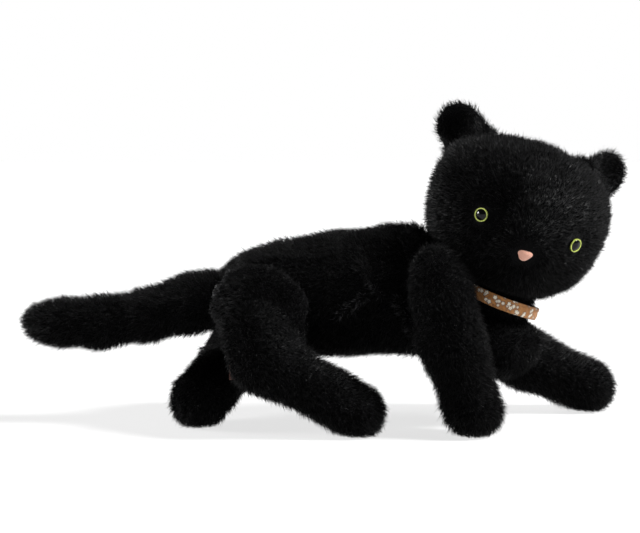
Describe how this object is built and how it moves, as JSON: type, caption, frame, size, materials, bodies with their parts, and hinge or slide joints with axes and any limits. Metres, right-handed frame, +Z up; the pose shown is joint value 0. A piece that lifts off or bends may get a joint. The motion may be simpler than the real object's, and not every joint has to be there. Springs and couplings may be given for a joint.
{
  "type": "plush cat",
  "caption": "Soft toy cat with long black pile, round glossy eyes, satin nose and printed collar, standing on soft jointed legs with its head turned to the side.",
  "frame": {"origin": "on the ground under the middle of the cat's bounding box", "axes": "+X from the tail to the chest, the longest extent; +Z up; the cat's right side is at -Y"},
  "size_m": [0.4053, 0.142, 0.2125],
  "materials": {
    "pile": "long soft black pile",
    "ear_lining": "short black pile",
    "filling": "loose polyester fibre",
    "pouch": "plain cotton bag of pellets",
    "thread": "matt sewing thread",
    "eye": "polished",
    "iris": "polished lime yellow",
    "washer": "moulded",
    "nose": "satin stitch",
    "collar": "woven cotton printed with small flowers",
    "label": "woven ribbon"
  },
  "bodies": {
    "torso": {"torso_cover": "pile", "torso_filling": "filling", "pellet_pouch": "pouch", "label": "label", "right_shoulder_thread": "thread", "left_shoulder_thread": "thread", "right_hip_thread": "thread", "left_hip_thread": "thread"},
    "neck": {"neck_cover": "pile", "neck_filling": "filling", "neck_thread": "thread"},
    "head": {"head_cover": "pile", "head_filling": "filling", "nose": "nose", "right_eye": "eye", "left_eye": "eye", "right_iris": "iris", "left_iris": "iris", "right_eye_washer": "washer", "left_eye_washer": "washer"},
    "right_ear": {"right_ear_back": "pile", "right_ear_lining": "ear_lining"},
    "left_ear": {"left_ear_back": "pile", "left_ear_lining": "ear_lining"},
    "collar": {"collar_band": "collar"},
    "right_front_leg": {"right_front_leg_cover": "pile", "right_front_leg_filling": "filling"},
    "left_front_leg": {"left_front_leg_cover": "pile", "left_front_leg_filling": "filling"},
    "right_hind_leg": {"right_hind_leg_cover": "pile", "right_hind_leg_filling": "filling"},
    "left_hind_leg": {"left_hind_leg_cover": "pile", "left_hind_leg_filling": "filling"},
    "tail": {"tail_cover": "pile", "tail_filling": "filling"}
  },
  "joints": [
    {"name": "neck_nod", "type": "hinge", "parent": "torso", "child": "neck", "pos_m": [0.1108, 0, 0.07482], "axis": [0, 1, 0], "range_deg": [-4, 12]},
    {"name": "head_turn", "type": "hinge", "parent": "neck", "child": "head", "pos_m": [0.1284, 0, 0.1405], "axis": [0.2588, 0, 0.9659], "range_deg": [-15, 80]},
    {"name": "collar_turn", "type": "hinge", "parent": "neck", "child": "collar", "pos_m": [0.11354, 0, 0.08506], "axis": [0.3746, 0, 0.9272], "continuous": true},
    {"name": "right_ear_fold", "type": "hinge", "parent": "head", "child": "right_ear", "pos_m": [0.09799, 0.0177, 0.18873], "axis": [0.7901, -0.2106, 0.5756], "range_deg": [-15, 35], "stiffness_Nm_per_rad": 0.02},
    {"name": "left_ear_fold", "type": "hinge", "parent": "head", "child": "left_ear", "pos_m": [0.17811, 0.02462, 0.16257], "axis": [0.2584, 0.3011, -0.9179], "range_deg": [-15, 35], "stiffness_Nm_per_rad": 0.02},
    {"name": "right_shoulder_swing", "type": "hinge", "parent": "torso", "child": "right_front_leg", "pos_m": [0.0724, -0.0484, 0.092], "axis": [0, 1, 0], "range_deg": [-30, 12]},
    {"name": "left_shoulder_swing", "type": "hinge", "parent": "torso", "child": "left_front_leg", "pos_m": [0.0964, 0.0485, 0.056], "axis": [0, 1, 0], "range_deg": [-20, 55]},
    {"name": "right_hip_swing", "type": "hinge", "parent": "torso", "child": "right_hind_leg", "pos_m": [-0.0396, -0.042, 0.08], "axis": [0, 1, 0], "range_deg": [-18, 30]},
    {"name": "left_hip_swing", "type": "hinge", "parent": "torso", "child": "left_hind_leg", "pos_m": [-0.0396, 0.042, 0.08], "axis": [0, 1, 0], "range_deg": [-30, 12]},
    {"name": "tail_lift", "type": "hinge", "parent": "torso", "child": "tail", "pos_m": [-0.0756, 0, 0.086], "axis": [0, 1, 0], "range_deg": [-6, 35]}
  ]
}
